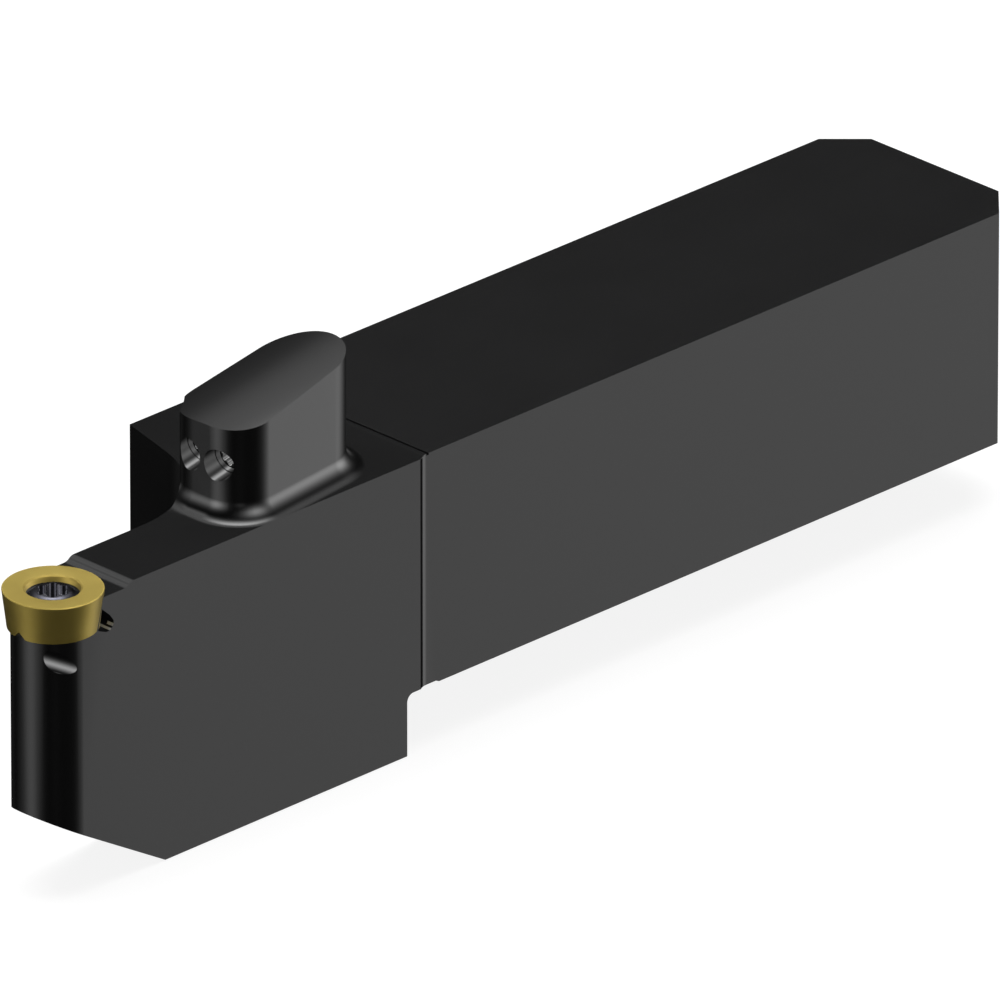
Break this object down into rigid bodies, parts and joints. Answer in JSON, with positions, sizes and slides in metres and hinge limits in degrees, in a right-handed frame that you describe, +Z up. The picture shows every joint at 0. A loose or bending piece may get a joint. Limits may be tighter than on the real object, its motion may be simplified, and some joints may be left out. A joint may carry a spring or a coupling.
{
  "type": "turning tool holder",
  "caption": "Square-shank turning tool holder with a round screw-clamped insert, a hooked heel and a coolant tower with nozzles over the cutting edge.",
  "frame": {"origin": "bottom edge of the shank's rear end, at the middle of its width", "axes": "+X along the shank to the cutting end, +Y to the side that the insert's blade lies on, +Z up out of the shank's top"},
  "size_m": [0.1352, 0.0265, 0.0439],
  "materials": {
    "blackened_steel": "satin black oxide on milled and ground steel",
    "gold_coated_carbide": "satin gold coating on sintered carbide",
    "screw_steel": "dark hardened steel",
    "nozzle_steel": "bright turned steel",
    "seal_copper": "soft copper"
  },
  "bodies": {
    "holder": {"holder_body": "blackened_steel", "insert": "gold_coated_carbide", "nozzle_near": "nozzle_steel", "nozzle_far": "nozzle_steel", "bottom_port_plug": "screw_steel", "bottom_port_seal": "seal_copper"},
    "screw": {"insert_screw": "screw_steel"}
  },
  "joints": [
    {"name": "insert_screw_turn", "type": "hinge", "parent": "holder", "child": "screw", "pos_m": [0.1302, 0.0087, 0.02425], "axis": [0, 0, 1], "range_deg": [0, 2970]}
  ]
}
